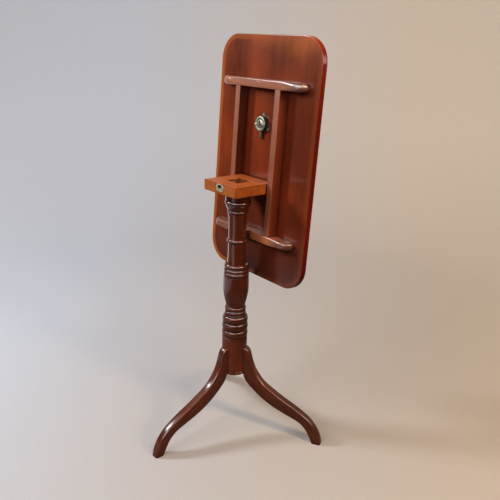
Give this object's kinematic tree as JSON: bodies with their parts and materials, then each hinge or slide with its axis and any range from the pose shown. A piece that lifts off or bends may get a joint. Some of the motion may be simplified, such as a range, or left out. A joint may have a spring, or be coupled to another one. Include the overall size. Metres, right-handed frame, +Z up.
{
  "type": "tilt-top tripod table",
  "caption": "Tripod side table with a turned column and a rounded rectangular top that tips up on a hinge block and locks down with a spring catch.",
  "frame": {"origin": "on the floor under the middle of the whole table's box, with the top tipped up", "axes": "+Z up, +X along the hinge, -Y the way the underside of the raised top faces"},
  "size_m": [0.4628, 0.4008, 1.0556],
  "materials": {
    "mahogany_top": "french polished",
    "mahogany_stand": "french polished, dark",
    "mahogany_block": "worn satin",
    "patinated_brass": "greenish patina",
    "dark_steel": "browned",
    "wrought_iron": "dark, waxed"
  },
  "bodies": {
    "stand": {"column": "mahogany_stand", "leg_front": "mahogany_stand", "leg_left": "mahogany_stand", "leg_right": "mahogany_stand", "strap_plate": "wrought_iron", "strap_screw_centre": "wrought_iron", "strap_screw_front": "wrought_iron", "strap_screw_left": "wrought_iron", "strap_screw_right": "wrought_iron", "striker_plate": "patinated_brass", "striker_screw_left": "patinated_brass", "striker_screw_right": "patinated_brass", "tenon_wedge": "mahogany_stand", "top_block": "mahogany_block"},
    "top": {"batten_lower": "mahogany_top", "batten_upper": "mahogany_top", "bearer_left": "mahogany_top", "bearer_right": "mahogany_top", "catch_case": "patinated_brass", "catch_plate": "patinated_brass", "catch_screw_far": "patinated_brass", "catch_screw_left": "patinated_brass", "catch_screw_right": "patinated_brass", "catch_spring": "dark_steel", "plug_batten_lower_1": "mahogany_top", "plug_batten_lower_2": "mahogany_top", "plug_batten_lower_3": "mahogany_top", "plug_batten_upper_1": "mahogany_top", "plug_batten_upper_2": "mahogany_top", "plug_batten_upper_3": "mahogany_top", "plug_bearer_left_1": "mahogany_top", "plug_bearer_left_2": "mahogany_top", "plug_bearer_right_1": "mahogany_top", "plug_bearer_right_2": "mahogany_top", "screw_batten_lower_1": "wrought_iron", "screw_batten_lower_2": "wrought_iron", "screw_batten_lower_3": "wrought_iron", "screw_batten_upper_1": "wrought_iron", "screw_batten_upper_2": "wrought_iron", "screw_batten_upper_3": "wrought_iron", "screw_bearer_left_1": "wrought_iron", "screw_bearer_left_2": "wrought_iron", "screw_bearer_right_1": "wrought_iron", "screw_bearer_right_2": "wrought_iron", "table_top": "mahogany_top"},
    "bolt": {"catch_bolt": "dark_steel", "catch_knob": "patinated_brass"}
  },
  "joints": [
    {"name": "top_tilt", "type": "hinge", "parent": "stand", "child": "top", "pos_m": [0, 0.116, 0.696], "axis": [1, 0, 0], "range_deg": [0, 93.04]},
    {"name": "catch_slide", "type": "slide", "parent": "top", "child": "bolt", "axis": [0, 0.053, 0.9986], "range_m": [0, 0.006], "stiffness_N_per_m": 300, "springref_m": -0.005}
  ]
}
